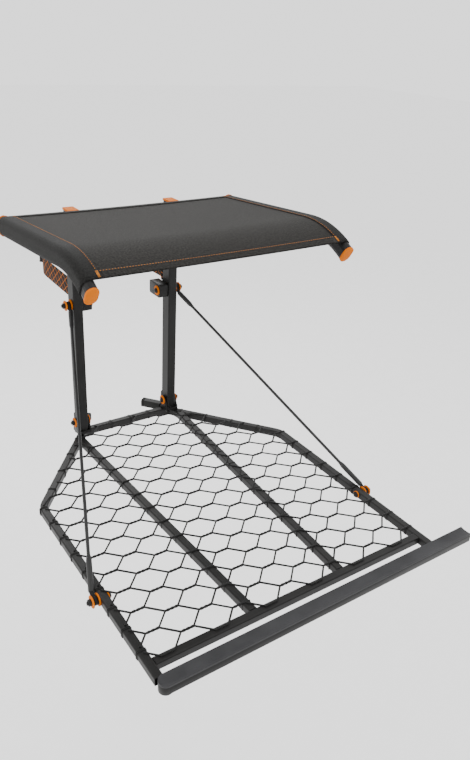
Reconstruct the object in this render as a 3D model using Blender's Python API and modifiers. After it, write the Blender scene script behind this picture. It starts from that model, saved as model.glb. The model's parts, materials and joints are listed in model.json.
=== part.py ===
"""Hang-on tree stand: two upright posts, a folding wire-deck platform hung on two
cables, a flip-up sling seat and a ratcheting trunk strap.

Stand coordinates, metres: +X to the sitter's left, -Y forward away from the trunk,
+Z up, z = 0 at the middle of the platform tubes, y = 0 at the middle of the posts.
The frame empty then moves the whole stand so that the world origin lies in the middle
of the upper crossbar's rear face, which faces the trunk.
"""
import math

import bmesh
import bpy
from mathutils import Vector

MM = 0.001

# ---- fits -----------------------------------------------------------------------
GAP = 0.3 * MM              # between pieces that touch or are welded
RUNNING_GAP = 0.5 * MM      # beside pieces that turn past each other
EDGE_STEPS = 2              # segments in a tube's rounded corner
TURN_STEPS = 10             # sides of a turned piece

# ---- posts ----------------------------------------------------------------------
POST_PITCH = 277 * MM       # between the middles of the posts
POST_WIDTH = 25.4 * MM
POST_DEPTH = 38 * MM
POST_WALL = 1.6 * MM
POST_CORNER = 3 * MM
POST_BOTTOM = 22 * MM
POST_TOP = 630 * MM
POST_CAP_LIP = 4.5 * MM
POST_CAP_RIM = 1.5 * MM     # how far the cap stands proud of the post
CAP_PLUG = 12 * MM

# ---- upper crossbar and trunk blades ----------------------------------------------
CROSSBAR_SIZE = 25.4 * MM
CROSSBAR_Z = 533 * MM
BLADE_THICKNESS = 5 * MM
BLADE_VERTEX_Y = 25 * MM    # bottom of the blades' V
BLADE_SLOPE = math.radians(30)
BLADE_TEETH = 10            # on each arm of the V
BLADE_TOOTH = 6 * MM
TRUNK_RADIUS = 140 * MM

# ---- platform ---------------------------------------------------------------------
FRAME_TUBE = 19 * MM
FRAME_WALL = 1.5 * MM
FRAME_CORNER = 2.5 * MM
FRAME_REAR_Y = 7 * MM
FRAME_BEND = 48 * MM        # radius of the tubes' bends
FRAME_HALF_WIDTH = 356 * MM
SIDE_BEND_Y = -275 * MM     # where the side tubes turn to the front
SIDE_START_X = 131 * MM     # where their slanted part would meet the rear tube
LOOP_REAR_X = 158 * MM
LOOP_FRONT_X = 115.6 * MM
FRONT_BAR_Y = -811 * MM
FOOT_REAR_Y = -848 * MM
FOOT_DEPTH = 29.5 * MM
FOOT_STRIP_THICKNESS = 3 * MM
FOOT_OVERHANG = 96 * MM     # past the side tube at the sitter's left

# ---- wire deck ---------------------------------------------------------------------
CELL_X = 60 * MM            # between neighbouring columns of twists
CELL_Y = 62 * MM            # between twists in one column
TWIST = 29 * MM             # length of a twist, along X
STRAND = 3 * MM             # width and thickness of the deck's strands
COLUMN_X = -17 * MM         # middle of one column of twists
ROW_Y = -778 * MM           # a twist's place in that column
SMALLEST_OPENING = 240 * MM * MM

# ---- platform hinge -----------------------------------------------------------------
PLATFORM_PIVOT_Z = 41 * MM
HINGE_BOLT_RADIUS = 4 * MM
EAR_THICKNESS = 4 * MM
EAR_RADIUS = 13 * MM
BRACKET_FLOOR = 3 * MM
BRACKET_WEB = 4 * MM
BRACKET_WEB_DROP = 20.5 * MM   # top of the web below the pivot

# ---- lower and upper trunk arms --------------------------------------------------------
ARM_SIZE = 22 * MM
ARM_WALL = 1.5 * MM
ARM_Z = 6 * MM
ARM_ANGLE = math.radians(51)
ARM_LENGTH = 58 * MM
ARM_PLATE = 4 * MM
ARM_PLATE_TOP = 60 * MM
TIP_LIP = 9 * MM
UPPER_ARM_WIDTH = 26 * MM
UPPER_ARM_HEIGHT = 38 * MM
UPPER_ARM_FRONT = -15 * MM
UPPER_ARM_BACK = 45 * MM

# ---- seat ------------------------------------------------------------------------------
SEAT_PIVOT_Z = 610 * MM
RAIL_X = 307.5 * MM
RAIL_WIDTH = 25 * MM
RAIL_HEIGHT = 41 * MM
RAIL_WALL = 1.6 * MM
RAIL_REAR_Y = -25 * MM
RAIL_REAR_Z = 615 * MM
RAIL_SLOPE = math.radians(4.5)
RAIL_STRAIGHT = 342 * MM
RAIL_BEND_RADIUS = 211 * MM
RAIL_BEND = math.radians(38)
RAIL_CAP_LIP = 5 * MM
RAIL_CAP_RIM = 1 * MM
RAIL_REAR_CAP_RIM = 4 * MM
SEAT_TUBE = 19 * MM
SEAT_TUBE_REAR_Y = -46 * MM
SEAT_TUBE_FRONT_Y = -356 * MM
SEAT_TUBE_DROP = 6.5 * MM   # below the rails' middle line
SEAT_STOP_TOP = 21.2 * MM   # below the pivot: it passes in front of the post caps
SEAT_STOP_LOW = 27.4 * MM   # and behind the deck when both are folded
SLING_THICKNESS = 1.5 * MM
SLING_BACK_Y = -27 * MM
SLING_FRONT_INSET = 16 * MM

# ---- cables ------------------------------------------------------------------------------
CABLE_TOP_Z = 389 * MM
CABLE_FRONT_Y = -610 * MM
CABLE_RADIUS = 2.5 * MM
SLEEVE_RADIUS = 4.9 * MM
SLEEVE_TOP = 64 * MM        # length of each end's sleeve
SLEEVE_LOW = 84 * MM
EYE_RADIUS = 10 * MM
EYE_THICKNESS = 10.4 * MM
EYE_STRAIGHT = 20 * MM      # the cable leaves the eye square to its bolt
CABLE_BOLT_RADIUS = 4 * MM
WASHER_RADIUS = 14 * MM
WASHER_THICKNESS = 2.4 * MM
NUT_RADIUS = 7.5 * MM
NUT_THICKNESS = 6.5 * MM
THREAD_END = 3 * MM
BOLT_HEAD_RADIUS = 8 * MM
BOLT_HEAD_HEIGHT = 6 * MM

# ---- trunk strap and ratchet -----------------------------------------------------------------
STRAP_Z = 430 * MM
STRAP_WIDTH = 50 * MM
STRAP_THICKNESS = 3 * MM
STAPLE_ROD = 4 * MM
STAPLE_REACH = 16 * MM
STAPLE_HALF = 35 * MM
HOOK_TURN = math.radians(235)
SPOOL_REACH = 24 * MM       # spool behind the strap's rearmost point
SPOOL_RADIUS = 9 * MM
SPOOL_LEAVE = math.radians(108)    # where the strap leaves the trunk for the spool
ANCHOR_LEAVE = math.radians(62)    # and for the anchor pin
RATCHET_CLEARANCE = 1.5 * MM
RATCHET_PLATE = 2.5 * MM
RATCHET_LENGTH = 58 * MM    # spool to anchor pin
GEAR_RADIUS = 17 * MM
GEAR_ROOT = 13 * MM
GEAR_TEETH = 12
GEAR_THICKNESS = 3 * MM
HANDLE_LENGTH = 95 * MM
GRIP_RADIUS = 7 * MM
PAWL_LENGTH = 42 * MM
PAWL_THICKNESS = 4 * MM

# ---- worked out from the sizes above --------------------------------------------------------
POST_X = POST_PITCH / 2
POST_HALF = POST_WIDTH / 2
POST_BACK = POST_DEPTH / 2
EAR_GAP = POST_CAP_RIM + RUNNING_GAP       # the seat's ears also pass the post caps
EAR_FACE = POST_HALF + EAR_GAP + EAR_THICKNESS
DECK_Z = FRAME_TUBE / 2 + GAP + STRAND / 2
BRACKET_FACE = -POST_BACK - 2 * RUNNING_GAP
DECK_REAR_Y = BRACKET_FACE - BRACKET_WEB - 4 * GAP
FOOT_Y = FOOT_REAR_Y - FOOT_DEPTH / 2
FOOT_LOW_X = -FRAME_HALF_WIDTH - FRAME_TUBE / 2
FOOT_HIGH_X = FRAME_HALF_WIDTH + FRAME_TUBE / 2 + FOOT_OVERHANG
TRUNK_Y = BLADE_VERTEX_Y + TRUNK_RADIUS / math.cos(BLADE_SLOPE)
EYE_OFFSET = 2 * GAP + WASHER_THICKNESS + EYE_THICKNESS / 2
CABLE_TOP_X = POST_X + POST_HALF + EYE_OFFSET
CABLE_FRONT_X = FRAME_HALF_WIDTH + FRAME_TUBE / 2 + EYE_OFFSET
STRAP_RADIUS = TRUNK_RADIUS + STRAP_THICKNESS / 2 + GAP
HOOK_RADIUS = STAPLE_ROD + GAP + STRAP_THICKNESS / 2
STAPLE_Y = POST_BACK + GAP + STAPLE_REACH
SPOOL_Y = TRUNK_Y + STRAP_RADIUS + SPOOL_REACH
RATCHET_INNER = STRAP_WIDTH / 2 + RATCHET_CLEARANCE
ORIGIN = Vector((0, CROSSBAR_SIZE / 2, CROSSBAR_Z))
PLATFORM_PIVOT = Vector((0, 0, PLATFORM_PIVOT_Z))
SEAT_PIVOT = Vector((0, 0, SEAT_PIVOT_Z))
SPOOL_AXIS = Vector((0, SPOOL_Y, STRAP_Z))

SIDES = (("left", 1), ("right", -1))
PIVOTS = {}
ALONG_X = (math.pi / 2, 0, math.pi / 2)   # local x, y, z become Y, Z, X
ALONG_Y = (math.pi / 2, 0, 0)             # local x, y, z become X, Z, -Y
UPRIGHT = (0, 0, 0)


def clear_scene():
    for obj in list(bpy.data.objects):
        bpy.data.objects.remove(obj, do_unlink=True)


def make_collection(name):
    collection = bpy.data.collections.new(name)
    bpy.context.scene.collection.children.link(collection)
    return collection


def make_material(name, colour, roughness, metallic=0.0):
    material = bpy.data.materials.new(name)
    material.use_nodes = True
    shader = material.node_tree.nodes["Principled BSDF"]
    shader.inputs["Base Color"].default_value = (*colour, 1)
    shader.inputs["Roughness"].default_value = roughness
    shader.inputs["Metallic"].default_value = metallic
    return material


def make_empty(name, place, parent=None):
    """An empty at a place in stand coordinates, which its children are placed from."""
    empty = bpy.data.objects.new(name, None)
    PARTS.objects.link(empty)
    empty.parent = parent
    empty.location = place - PIVOTS[parent.name] if parent else place - ORIGIN
    PIVOTS[empty.name] = place
    return empty


# ---- outlines -------------------------------------------------------------------
def arc(centre, radius, start, end, steps):
    """Points along an arc, both ends included."""
    turn = (end - start) / steps
    return [(centre[0] + radius * math.cos(start + turn * i),
             centre[1] + radius * math.sin(start + turn * i)) for i in range(steps + 1)]


def rounded_box(width, height, radius, steps=EDGE_STEPS):
    """Closed outline of a rectangle with round corners, about (0, 0)."""
    w, h = width / 2 - radius, height / 2 - radius
    quarter = math.pi / 2
    corners = [(w, h, 0), (-w, h, quarter), (-w, -h, 2 * quarter), (w, -h, 3 * quarter)]
    points = []
    for x, y, start in corners:
        points += arc((x, y), radius, start, start + quarter, steps)
    return points


def stadium(width, height, steps=6):
    """Closed flat-oval outline, taller than wide, about (0, 0)."""
    radius = width / 2
    rise = height / 2 - radius
    return (arc((0, rise), radius, 0, math.pi, steps)
            + arc((0, -rise), radius, math.pi, 2 * math.pi, steps))


def circle(radius, steps=16, centre=(0, 0)):
    return arc(centre, radius, 0, 2 * math.pi * (steps - 1) / steps, steps - 1)


def bend_path(corners, radii, step=math.radians(13)):
    """A polyline in a plane with each inner corner turned into an arc."""
    points = [corners[0]]
    for before, corner, after, radius in zip(corners, corners[1:], corners[2:], radii):
        a = (Vector(before) - Vector(corner)).normalized()
        b = (Vector(after) - Vector(corner)).normalized()
        turn = math.pi - a.angle(b)
        reach = radius * math.tan(turn / 2)
        middle = Vector(corner) + (a + b).normalized() * (radius / math.cos(turn / 2))
        first = Vector(corner) + a * reach - middle
        side = 1 if first.y * a.x - first.x * a.y > 0 else -1
        count = max(2, round(turn / step))
        start = math.atan2(first.y, first.x)
        points += arc(middle, radius, start, start + side * turn, count)
    return points + [corners[-1]]


def band(path, thickness):
    """Closed outline of a band of even thickness along an open path."""
    left, right = [], []
    for i, point in enumerate(path):
        here = Vector(point)
        ahead = Vector(path[min(i + 1, len(path) - 1)]) - here
        behind = here - Vector(path[max(i - 1, 0)])
        normal = (ahead.normalized() + behind.normalized()).normalized().orthogonal()
        left.append(tuple(here + normal * thickness / 2))
        right.append(tuple(here - normal * thickness / 2))
    return left + right[::-1]


# ---- solids ----------------------------------------------------------------------
def add_curve(name, loops, dimensions, cyclic=True):
    curve = bpy.data.curves.new(name, "CURVE")
    curve.dimensions = dimensions
    for loop in loops:
        spline = curve.splines.new("POLY")
        spline.points.add(len(loop) - 1)
        for point, place in zip(spline.points, loop):
            point.co = (*place, 0, 1) if len(place) == 2 else (*place, 1)
        spline.use_cyclic_u = cyclic
    obj = bpy.data.objects.new(name, curve)
    PARTS.objects.link(obj)
    return obj


def as_mesh(obj, closed=True):
    """Replace a curve object by a welded mesh object of the same name and place."""
    bpy.context.view_layer.update()
    mesh = bpy.data.meshes.new_from_object(obj.evaluated_get(bpy.context.evaluated_depsgraph_get()))
    name, matrix = obj.name, obj.matrix_world.copy()
    bpy.data.objects.remove(obj)
    work = bmesh.new()
    work.from_mesh(mesh)
    bmesh.ops.remove_doubles(work, verts=work.verts, dist=0.01 * MM)
    if closed:
        bmesh.ops.recalc_face_normals(work, faces=work.faces)
    work.to_mesh(mesh)
    work.free()
    solid = bpy.data.objects.new(name, mesh)
    solid.name = name
    PARTS.objects.link(solid)
    solid.matrix_world = matrix
    return solid


def finish(obj, material, pivot, place=(0, 0, 0), rotation=UPRIGHT):
    """Colour a piece and put it at a place in stand coordinates, under a pivot."""
    obj.data.materials.clear()
    obj.data.materials.append(material)
    obj.parent = pivot
    obj.location = Vector(place) - PIVOTS[pivot.name]
    obj.rotation_euler = rotation
    if obj.type == "MESH":
        obj.data.shade_smooth()
        obj.data.set_sharp_from_angle(angle=math.radians(35))
    return obj


def plate(name, loops, depth, material, pivot, place=(0, 0, 0), rotation=UPRIGHT):
    """A flat outline, with any holes, extruded to a depth about its own plane."""
    obj = add_curve(name, loops, "2D")
    obj.data.fill_mode = "BOTH"
    obj.data.extrude = depth / 2
    return finish(as_mesh(obj), material, pivot, place, rotation)


def turned(name, profile, material, pivot, place, rotation):
    """A profile of (radius, height) points from top to bottom, turned about local Z."""
    mesh = bpy.data.meshes.new(name)
    mesh.from_pydata([(r, 0, z) for r, z in profile],
                     [(i, i + 1) for i in range(len(profile) - 1)], [])
    obj = bpy.data.objects.new(name, mesh)
    PARTS.objects.link(obj)
    screw = obj.modifiers.new("Turn", "SCREW")
    screw.steps = screw.render_steps = TURN_STEPS
    screw.use_merge_vertices = True
    screw.merge_threshold = 0.01 * MM
    return finish(obj, material, pivot, place, rotation)


def swept(name, path, section, cyclic=True, caps=False):
    """A section carried along a path; the section's y axis stays up."""
    guide = add_curve(name + "_section", [section], "2D", cyclic)
    rail = add_curve(name, [path], "3D", cyclic=False)
    rail.data.twist_mode = "Z_UP"
    rail.data.bevel_mode = "OBJECT"
    rail.data.bevel_object = guide
    rail.data.use_fill_caps = caps
    solid = as_mesh(rail, closed=caps)
    bpy.data.objects.remove(guide)
    return solid


def face_outwards(obj, inside):
    """Turn an open sheet's faces away from a point inside it."""
    face = min(obj.data.polygons, key=lambda f: (f.center - inside).length)
    if (face.center - inside).dot(face.normal) < 0:
        obj.data.flip_normals()


def thicken(obj, wall, offset=-1):
    shell = obj.modifiers.new("Wall", "SOLIDIFY")
    shell.thickness = wall
    shell.offset = offset
    shell.use_even_offset = True
    return obj


def hollow_tube(name, path, section, wall, material, pivot):
    obj = swept(name, path, section)
    face_outwards(obj, Vector(path[0]))
    return finish(thicken(obj, wall), material, pivot)


def as_cutter(obj):
    PARTS.objects.unlink(obj)
    CUTTERS.objects.link(obj)
    obj.hide_render = True
    obj.display_type = "WIRE"
    return obj


def combine(obj, other, operation):
    joint = obj.modifiers.new(operation.title(), "BOOLEAN")
    joint.operation = operation
    joint.object = as_cutter(other) if other.name in PARTS.objects else other
    return obj


def cross_hole(name, radius, place, pivot):
    """A round cutter that runs right across the stand, along X."""
    return as_cutter(plate(name, [circle(radius)], 3 * FRAME_HALF_WIDTH, BLACK, pivot, place,
                           ALONG_X))


# ---- posts and what is fixed to them ------------------------------------------------
def build_posts():
    height = POST_TOP - POST_BOTTOM
    middle = (POST_TOP + POST_BOTTOM) / 2
    outer = rounded_box(POST_WIDTH, POST_DEPTH, POST_CORNER)
    inner = rounded_box(POST_WIDTH - 2 * POST_WALL, POST_DEPTH - 2 * POST_WALL,
                        POST_CORNER - POST_WALL, 1)
    holes = [cross_hole("bolt_hole", HINGE_BOLT_RADIUS + GAP, (0, 0, z), FRAME)
             for z in (PLATFORM_PIVOT_Z, CABLE_TOP_Z, SEAT_PIVOT_Z)]
    for side, sign in SIDES:
        post = plate(f"post_{side}", [outer, inner], height, BLACK, FRAME,
                     (sign * POST_X, 0, middle))
        for hole in holes:
            combine(post, hole, "DIFFERENCE")
        build_post_cap(side, sign)


def build_post_cap(side, sign):
    lip = rounded_box(POST_WIDTH + 2 * POST_CAP_RIM, POST_DEPTH + 2 * POST_CAP_RIM, POST_CORNER)
    plug_width = POST_WIDTH - 2 * POST_WALL - 2 * GAP
    plug_depth = POST_DEPTH - 2 * POST_WALL - 2 * GAP
    base = POST_TOP + GAP
    cap = plate(f"post_cap_{side}", [lip], POST_CAP_LIP, ORANGE, FRAME,
                (sign * POST_X, 0, base + POST_CAP_LIP / 2))
    # the plug runs into the lip, and stops above the seat bolt
    bottom = max(base - CAP_PLUG, SEAT_PIVOT_Z + HINGE_BOLT_RADIUS + 2 * GAP)
    top = base + POST_CAP_LIP / 2
    plug = plate("cap_plug", [rounded_box(plug_width, plug_depth, POST_CORNER - POST_WALL, 1)],
                 top - bottom, ORANGE, FRAME, (sign * POST_X, 0, (top + bottom) / 2))
    combine(cap, plug, "UNION")


def build_crossbar():
    length = POST_PITCH - POST_WIDTH - 2 * GAP
    inner = CROSSBAR_SIZE - 2 * POST_WALL
    plate("upper_crossbar", [rounded_box(CROSSBAR_SIZE, CROSSBAR_SIZE, POST_CORNER),
                             rounded_box(inner, inner, POST_CORNER - POST_WALL, 1)],
          length, BLACK, FRAME, (0, 0, CROSSBAR_Z), ALONG_X)


def build_blades():
    """Two flat plates whose toothed V bites the trunk, above and below each other."""
    half = POST_X - POST_HALF - GAP
    front = CROSSBAR_SIZE / 2 + GAP
    pitch = half / BLADE_TEETH
    edge = [(half, front)]
    for tooth in range(BLADE_TEETH, 0, -1):
        for x, cut_back in ((tooth * pitch, 0), ((tooth - 0.7) * pitch, BLADE_TOOTH)):
            edge.append((x, BLADE_VERTEX_Y + x * math.tan(BLADE_SLOPE) - cut_back))
    outline = edge + [(-x, y) for x, y in edge[::-1]]
    lift = (CROSSBAR_SIZE - BLADE_THICKNESS) / 2
    for name, z in (("upper", CROSSBAR_Z + lift), ("lower", CROSSBAR_Z - lift)):
        plate(f"trunk_blade_{name}", [outline], BLADE_THICKNESS, BLACK, FRAME, (0, 0, z))


def build_lower_arms():
    """Short tubes on plates behind the post feet, with rubber tips, that brace the trunk."""
    plate_y = POST_BACK + GAP + ARM_PLATE / 2
    low = ARM_Z - ARM_SIZE / 2
    inner = ARM_SIZE - 2 * ARM_WALL
    tube_loops = [rounded_box(ARM_SIZE, ARM_SIZE, FRAME_CORNER),
                  rounded_box(inner, inner, FRAME_CORNER - ARM_WALL, 1)]
    plug_loop = rounded_box(inner - 2 * GAP, inner - 2 * GAP, FRAME_CORNER - ARM_WALL, 1)
    tip_loop = rounded_box(ARM_SIZE + 2 * GAP, ARM_SIZE + 2 * GAP, POST_CORNER)
    for side, sign in SIDES:
        arm = plate(f"lower_arm_{side}", [rounded_box(POST_WIDTH, ARM_PLATE_TOP - low, POST_CORNER)],
                    ARM_PLATE, BLACK, FRAME,
                    (sign * POST_X, plate_y, (ARM_PLATE_TOP + low) / 2), ALONG_Y)
        way = Vector((-sign * math.cos(ARM_ANGLE), math.sin(ARM_ANGLE), 0))
        turn = (math.pi / 2, 0, math.atan2(way.y, way.x) + math.pi / 2)
        start = Vector((sign * (POST_X - POST_HALF * 0.5), plate_y, ARM_Z))
        tube = plate("arm_tube", tube_loops, ARM_LENGTH, BLACK, FRAME,
                     start + way * ARM_LENGTH / 2, turn)
        # the slanted tube's end is cut flush with the front of its plate
        depth = 2 * ARM_SIZE
        trim = plate("arm_trim", [rounded_box(4 * POST_WIDTH, depth, 1 * MM, 1)], depth, BLACK,
                     FRAME, (sign * POST_X, plate_y - ARM_PLATE / 4 - depth / 2, ARM_Z), ALONG_Y)
        combine(tube, trim, "DIFFERENCE")
        combine(arm, tube, "UNION")
        end = start + way * (ARM_LENGTH + GAP)
        tip = plate(f"arm_tip_{side}", [tip_loop], TIP_LIP, RUBBER, FRAME,
                    end + way * TIP_LIP / 2, turn)
        plug = plate("tip_plug", [plug_loop], CAP_PLUG + TIP_LIP / 2, RUBBER, FRAME,
                     end - way * (CAP_PLUG - TIP_LIP / 2) / 2, turn)
        combine(tip, plug, "UNION")


def build_upper_arms():
    """Blocks on the inner side of the posts, on the cable bolts, that reach the trunk."""
    length = UPPER_ARM_BACK - UPPER_ARM_FRONT
    middle = (UPPER_ARM_BACK + UPPER_ARM_FRONT) / 2
    outline = rounded_box(length, UPPER_ARM_HEIGHT, 6 * MM)
    hole = circle(CABLE_BOLT_RADIUS + GAP, 16, (-middle, 0))
    for side, sign in SIDES:
        x = sign * (POST_X - POST_HALF - GAP - UPPER_ARM_WIDTH / 2)
        plate(f"upper_arm_{side}", [outline, hole], UPPER_ARM_WIDTH, BLACK, FRAME,
              (x, middle, CABLE_TOP_Z), ALONG_X)


# ---- platform -----------------------------------------------------------------------
def loop_path():
    """The rear crossbar and both inner bars, bent from one tube."""
    y_end = FRONT_BAR_Y - FRAME_TUBE / 2
    corners = [(-LOOP_FRONT_X, y_end), (-LOOP_REAR_X, FRAME_REAR_Y),
               (LOOP_REAR_X, FRAME_REAR_Y), (LOOP_FRONT_X, y_end)]
    return [(x, y, 0) for x, y in bend_path(corners, [FRAME_BEND, FRAME_BEND])]


def build_loop_tube():
    tube = hollow_tube("loop_tube", loop_path(), rounded_box(FRAME_TUBE, FRAME_TUBE, FRAME_CORNER),
                       FRAME_WALL, BLACK, PLATFORM)
    depth = 4 * FRAME_TUBE
    trim = plate("loop_trim", [rounded_box(4 * LOOP_FRONT_X, depth, 1 * MM, 1)], depth, BLACK,
                 PLATFORM, (0, FRONT_BAR_Y + FRAME_TUBE / 2 + GAP - depth / 2, 0), ALONG_Y)
    combine(tube, trim, "DIFFERENCE")


def build_side_tubes():
    """From the loop's rear bends out to the sides and on to the footrest."""
    section = rounded_box(FRAME_TUBE, FRAME_TUBE, FRAME_CORNER)
    size = FRAME_TUBE + 2 * GAP
    envelope = finish(swept("loop_envelope", loop_path(), rounded_box(size, size, FRAME_CORNER),
                            caps=True), BLACK, PLATFORM)
    as_cutter(envelope)
    hole = cross_hole("cable_hole", CABLE_BOLT_RADIUS + GAP, (0, CABLE_FRONT_Y, 0), PLATFORM)
    slant = Vector((FRAME_HALF_WIDTH - SIDE_START_X, SIDE_BEND_Y - FRAME_REAR_Y))
    tangent = FRAME_BEND * math.tan(math.atan2(-slant.y, slant.x) / 2)
    start = Vector((SIDE_START_X, FRAME_REAR_Y)) + slant.normalized() * tangent
    for side, sign in SIDES:
        corners = [(sign * start.x, start.y), (sign * FRAME_HALF_WIDTH, SIDE_BEND_Y),
                   (sign * FRAME_HALF_WIDTH, FOOT_REAR_Y + GAP)]
        path = [(x, y, 0) for x, y in bend_path(corners, [FRAME_BEND])]
        tube = hollow_tube(f"side_tube_{side}", path, section, FRAME_WALL, BLACK, PLATFORM)
        combine(tube, envelope, "DIFFERENCE")
        combine(tube, hole, "DIFFERENCE")


def build_front_bar():
    inner = FRAME_TUBE - 2 * FRAME_WALL
    plate("front_crossbar", [rounded_box(FRAME_TUBE, FRAME_TUBE, FRAME_CORNER),
                             rounded_box(inner, inner, FRAME_CORNER - FRAME_WALL, 1)],
          2 * (FRAME_HALF_WIDTH - FRAME_TUBE / 2 - GAP), BLACK, PLATFORM,
          (0, FRONT_BAR_Y, 0), ALONG_X)


def build_footrest():
    """A tube across the front with a grip strip on top, longer at the sitter's left."""
    radius = FOOT_DEPTH / 2
    low = FOOT_LOW_X + radius
    inner = rounded_box(FOOT_DEPTH - 2 * FRAME_WALL, FRAME_TUBE - 2 * FRAME_WALL,
                        FRAME_CORNER - FRAME_WALL, 1)
    tube = plate("footrest_tube", [rounded_box(FOOT_DEPTH, FRAME_TUBE, FRAME_CORNER), inner],
                 FOOT_HIGH_X - low, BLACK, PLATFORM, ((FOOT_HIGH_X + low) / 2, FOOT_Y, 0), ALONG_X)
    # the end at the sitter's right is closed and round
    end = plate("footrest_end", [circle(radius - GAP, 24)], FRAME_TUBE, BLACK, PLATFORM,
                (low, FOOT_Y, 0))
    combine(tube, end, "UNION")
    outline = arc((low, 0), radius, math.pi / 2, 3 * math.pi / 2, 12)
    outline += [(FOOT_HIGH_X, -radius), (FOOT_HIGH_X, radius)]
    plate("footrest_strip", [outline], FOOT_STRIP_THICKNESS, GREY, PLATFORM,
          (0, FOOT_Y, FRAME_TUBE / 2 + GAP + FOOT_STRIP_THICKNESS / 2))


def clip(polygon, inside, cross):
    """The part of a polygon on the inner side of one edge."""
    kept = []
    for a, b in zip(polygon, polygon[1:] + polygon[:1]):
        if inside(a):
            kept.append(a)
        if inside(a) != inside(b):
            kept.append(cross(a, b))
    return kept


def clip_to(polygon, border):
    """The part of a polygon inside a convex border that runs anticlockwise."""
    for start, end in zip(border, border[1:] + border[:1]):
        edge = Vector(end) - Vector(start)

        def height(p, start=start, edge=edge):
            return edge.x * (p[1] - start[1]) - edge.y * (p[0] - start[0])

        def cross(a, b, height=height):
            share = height(a) / (height(a) - height(b))
            return tuple(Vector(a).lerp(Vector(b), share))

        polygon = clip(polygon, lambda p, height=height: height(p) > 0, cross)
        if len(polygon) < 3:
            return []
    return polygon


def polygon_area(polygon):
    return sum(a[0] * b[1] - b[0] * a[1] for a, b in zip(polygon, polygon[1:] + polygon[:1])) / 2


def deck_border():
    """Anticlockwise outline of the deck, over the side tubes and clear of the brackets."""
    slant = (FRAME_HALF_WIDTH - SIDE_START_X) / (FRAME_REAR_Y - SIDE_BEND_Y)
    rear_x = SIDE_START_X + (FRAME_REAR_Y - DECK_REAR_Y) * slant
    left = bend_path([(0, DECK_REAR_Y), (rear_x, DECK_REAR_Y), (FRAME_HALF_WIDTH, SIDE_BEND_Y),
                      (FRAME_HALF_WIDTH, FRONT_BAR_Y)], [3 * STRAND, FRAME_BEND])
    return left[:0:-1] + [(-x, y) for x, y in left[1:]]


def moved_in(loop, inset):
    """An anticlockwise convex outline moved inwards."""
    moved = []
    for before, point, after in zip(loop[-1:] + loop, loop, loop[1:] + loop[:1]):
        behind = (Vector(point) - Vector(before)).normalized()
        ahead = (Vector(after) - Vector(point)).normalized()
        along = (behind + ahead).normalized()
        stretch = inset / math.cos(ahead.angle(behind) / 2)
        moved.append(tuple(Vector(point) + Vector((-along.y, along.x)) * stretch))
    return moved


def build_deck():
    """The hexagonal wire deck as one sheet with hexagonal openings, lying on the frame."""
    half_y = (CELL_Y - STRAND) / 2
    point_x, shoulder_x = CELL_X - TWIST / 2 - STRAND, TWIST / 2 - STRAND / 2
    cell = [(point_x, 0), (shoulder_x, half_y), (-shoulder_x, half_y),
            (-point_x, 0), (-shoulder_x, -half_y), (shoulder_x, -half_y)]
    outline = deck_border()
    border = moved_in(outline, STRAND)
    openings = []
    reach = int(FRAME_HALF_WIDTH / CELL_X) + 2
    rows = int(-FRONT_BAR_Y / CELL_Y) + 3
    for column in range(-reach, reach + 1):
        x = COLUMN_X + column * CELL_X
        for row in range(-2, rows):
            y = ROW_Y + (row + 0.5 + 0.5 * (column % 2)) * CELL_Y
            opening = clip_to([(x + dx, y + dy) for dx, dy in cell], border)
            if polygon_area(opening) > SMALLEST_OPENING:
                openings.append(opening)
    plate("wire_deck", [outline] + openings, STRAND, BLACK, PLATFORM, (0, 0, DECK_Z))


def build_brackets(name, outline, channel, pivot, place):
    """A channel-shaped bracket round each post: an ear on either side and a web between."""
    hole = circle(HINGE_BOLT_RADIUS + GAP)
    for side, sign in SIDES:
        middle = place + Vector((sign * POST_X, 0, 0))
        bracket = plate(f"{name}_{side}", [outline, hole], 2 * EAR_FACE, BLACK, pivot, middle, ALONG_X)
        inside = plate("bracket_channel", [channel], 2 * (EAR_FACE - EAR_THICKNESS), BLACK,
                       pivot, middle, ALONG_X)
        combine(bracket, inside, "DIFFERENCE")


def channel_outline(face, floor, web_top):
    """What is cut from a bracket's middle: behind its web's face and above web and floor."""
    far = 4 * POST_DEPTH
    return [(face, floor), (far, floor), (far, far), (-far, far), (-far, web_top), (face, web_top)]


def build_platform_brackets():
    floor = FRAME_TUBE / 2 + GAP - PLATFORM_PIVOT_Z
    outline = ([(BRACKET_FACE - BRACKET_WEB, -BRACKET_WEB_DROP), (BRACKET_FACE - BRACKET_WEB, floor),
                (FRAME_REAR_Y + FRAME_TUBE / 2, floor)]
               + arc((0, 0), EAR_RADIUS, -math.radians(15), math.pi, 12))
    channel = channel_outline(BRACKET_FACE, floor + BRACKET_FLOOR, -BRACKET_WEB_DROP)
    build_brackets("platform_bracket", outline, channel, PLATFORM, PLATFORM_PIVOT)


# ---- seat ------------------------------------------------------------------------------
def rail_path(inset=0.0, start_y=RAIL_REAR_Y):
    """Middle line of a rail as (y, z), from the rear end to the front end."""
    rise = math.tan(RAIL_SLOPE)
    first = (start_y, RAIL_REAR_Z + (RAIL_REAR_Y - start_y) * rise)
    turn_y = RAIL_REAR_Y - RAIL_STRAIGHT * math.cos(RAIL_SLOPE)
    turn_z = RAIL_REAR_Z + RAIL_STRAIGHT * math.sin(RAIL_SLOPE)
    centre = (turn_y - RAIL_BEND_RADIUS * math.sin(RAIL_SLOPE),
              turn_z - RAIL_BEND_RADIUS * math.cos(RAIL_SLOPE))
    start = math.pi / 2 - RAIL_SLOPE
    *path, before, end = [first] + arc(centre, RAIL_BEND_RADIUS, start, start + RAIL_BEND, 7)
    back = (Vector(before) - Vector(end)).normalized() * inset
    return path + [before, tuple(Vector(end) + back)]


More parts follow.
